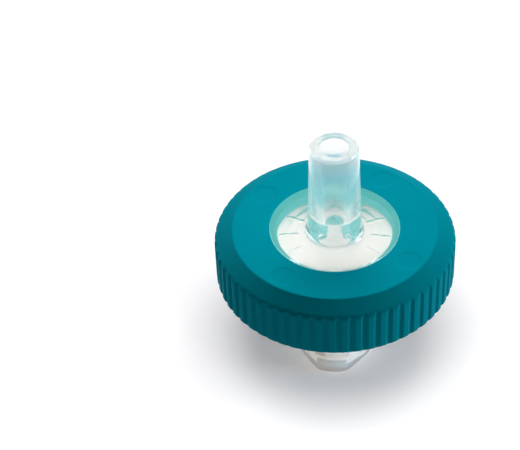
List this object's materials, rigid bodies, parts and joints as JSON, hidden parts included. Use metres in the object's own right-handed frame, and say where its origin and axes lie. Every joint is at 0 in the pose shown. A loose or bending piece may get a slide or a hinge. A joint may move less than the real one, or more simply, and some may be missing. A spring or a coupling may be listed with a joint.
{
  "type": "syringe filter",
  "caption": "Round disposable syringe filter: fluted sealing ring moulded round two clear housings that clamp a membrane, with a locking inlet hub and a tapered outlet nozzle.",
  "frame": {"origin": "centre of the end face of the inlet hub, on which the filter stands", "axes": "+Z along the flow, from the inlet hub to the tip of the outlet nozzle; X and Y across the ring"},
  "size_m": [0.02, 0.02, 0.0219],
  "materials": {
    "ring_plastic": "satin injection-moulded polypropylene, teal",
    "clear_housing": "natural polypropylene, glossy and slightly milky",
    "filter_membrane": "matt white microporous polymer film"
  },
  "bodies": {
    "root": {"overmould_ring": "ring_plastic", "outlet_housing": "clear_housing", "membrane": "filter_membrane", "inlet_housing": "clear_housing"}
  },
  "joints": []
}
